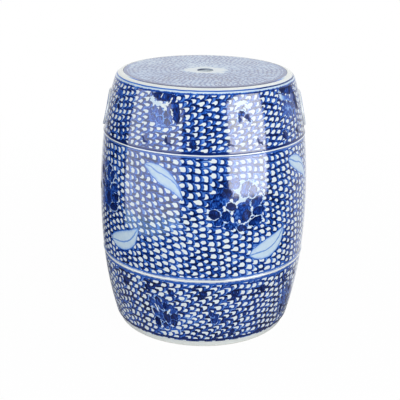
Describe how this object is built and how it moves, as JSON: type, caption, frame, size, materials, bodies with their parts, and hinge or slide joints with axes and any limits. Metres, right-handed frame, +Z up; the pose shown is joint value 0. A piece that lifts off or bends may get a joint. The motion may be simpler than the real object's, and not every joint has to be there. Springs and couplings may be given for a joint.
{
  "type": "garden stool",
  "caption": "Barrel-shaped hollow porcelain garden stool with a flat round seat, central finger hole, raised cordons and pierced coin handles, painted blue and white.",
  "frame": {"origin": "centre of the foot, on the ground", "axes": "+Z up along the drum's axis, the two coin handles on -X and +X"},
  "size_m": [0.3708, 0.3709, 0.457],
  "materials": {
    "painted_glaze": "glossy clear glaze over cobalt brushwork on white porcelain",
    "white_glaze": "glossy clear glaze over white porcelain",
    "bare_clay": "matt unglazed fired clay"
  },
  "bodies": {
    "root": {"seat_slab": "painted_glaze", "shoulder_rim": "painted_glaze", "upper_wall": "painted_glaze", "middle_wall": "painted_glaze", "lower_wall": "painted_glaze", "foot_ring": "white_glaze", "upper_cordon": "white_glaze", "lower_cordon": "white_glaze", "handle_ring_left": "white_glaze", "handle_ring_right": "white_glaze", "handle_coin_left": "painted_glaze", "handle_coin_right": "painted_glaze", "seat_seam_coil": "bare_clay", "upper_seam_coil": "bare_clay", "lower_seam_coil": "bare_clay", "foot_seam_coil": "bare_clay"}
  },
  "joints": []
}
